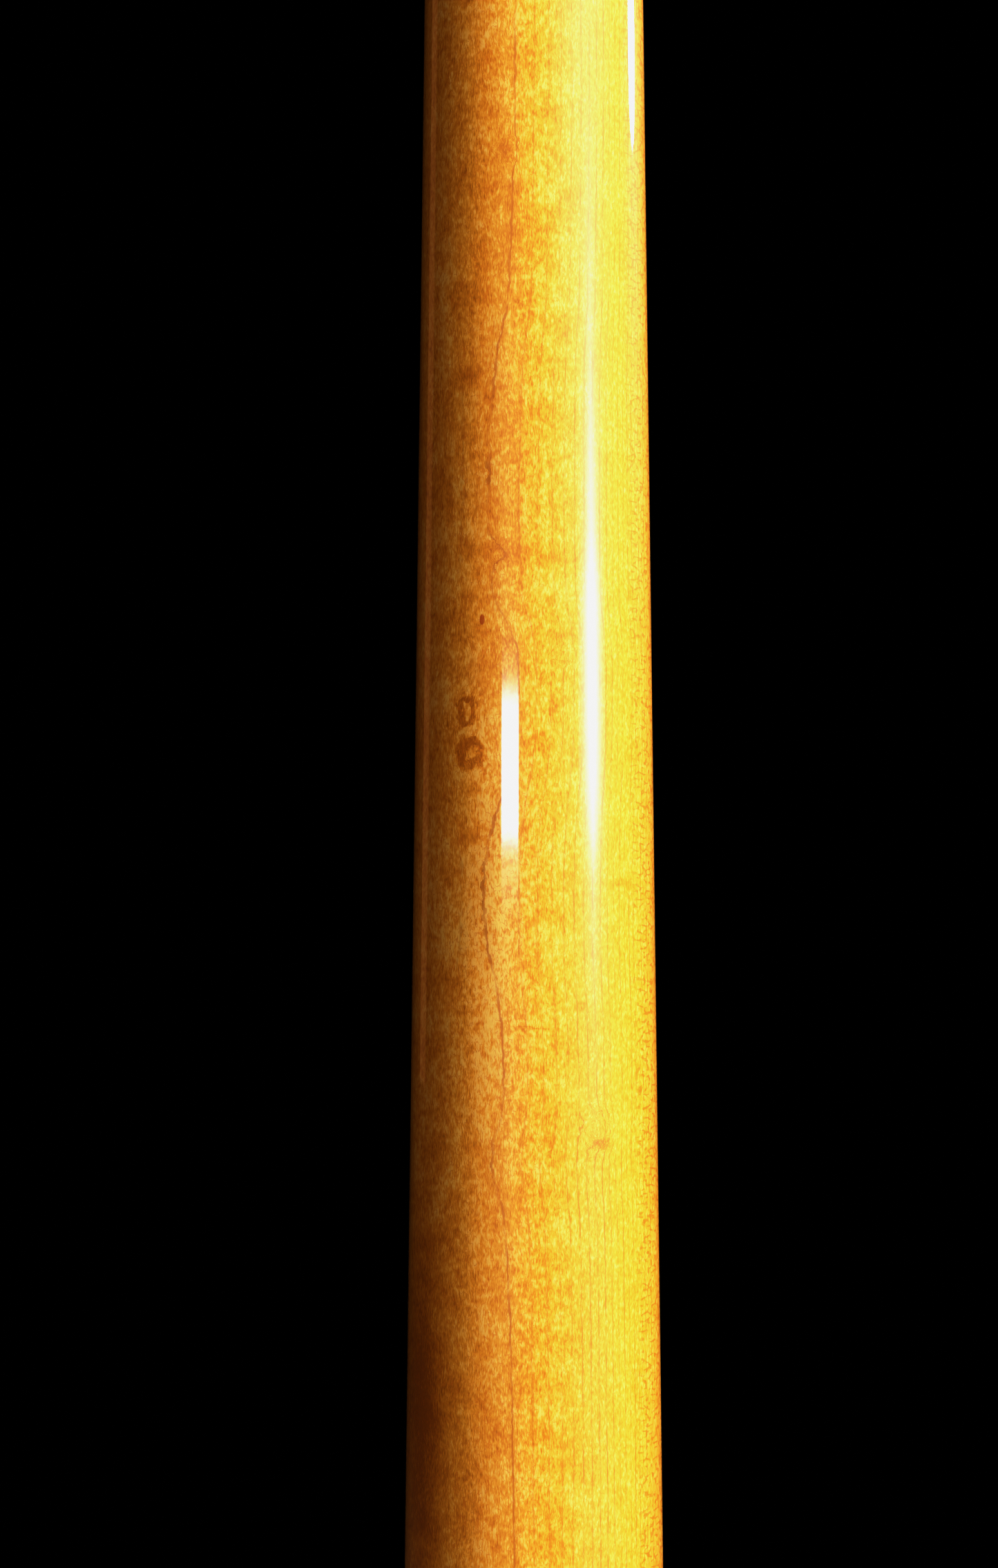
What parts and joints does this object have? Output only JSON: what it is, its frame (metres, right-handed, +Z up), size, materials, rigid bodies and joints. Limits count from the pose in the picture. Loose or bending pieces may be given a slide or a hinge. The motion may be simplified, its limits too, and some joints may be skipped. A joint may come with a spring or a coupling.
{
  "type": "didgeridoo",
  "caption": "Straight tapered didgeridoo of figured maple, split and hollowed, with a flared bell ringed in red hardwood and a pull-out hardwood mouthpiece seated in a brass ferrule.",
  "frame": {"origin": "on the floor, at the centre of the bell face", "axes": "+Z up the bore from the bell to the mouthpiece, -Y towards the viewer of the picture, +X to the viewer's right; the seam between the two maple halves is the plane Y = 0"},
  "size_m": [0.1006, 0.1006, 1.4],
  "materials": {
    "maple": "clear gloss lacquer over amber figured maple",
    "jarrah": "oiled and polished deep red-brown hardwood",
    "brass": "turned and polished",
    "rubber": "smooth black",
    "dowel": "plain beech"
  },
  "bodies": {
    "instrument": {"body_front_half": "maple", "body_back_half": "maple", "seam_dowels": "dowel", "socket_sleeve": "brass", "mouth_ferrule": "brass", "bell_accent_ring": "brass", "bell_ring": "jarrah"},
    "mouthpiece": {"mouthpiece": "jarrah", "lower_o_ring": "rubber", "upper_o_ring": "rubber"}
  },
  "joints": [
    {"name": "mouthpiece_pull", "type": "slide", "parent": "instrument", "child": "mouthpiece", "axis": [0, 0, 1], "range_m": [0, 0.06]}
  ]
}
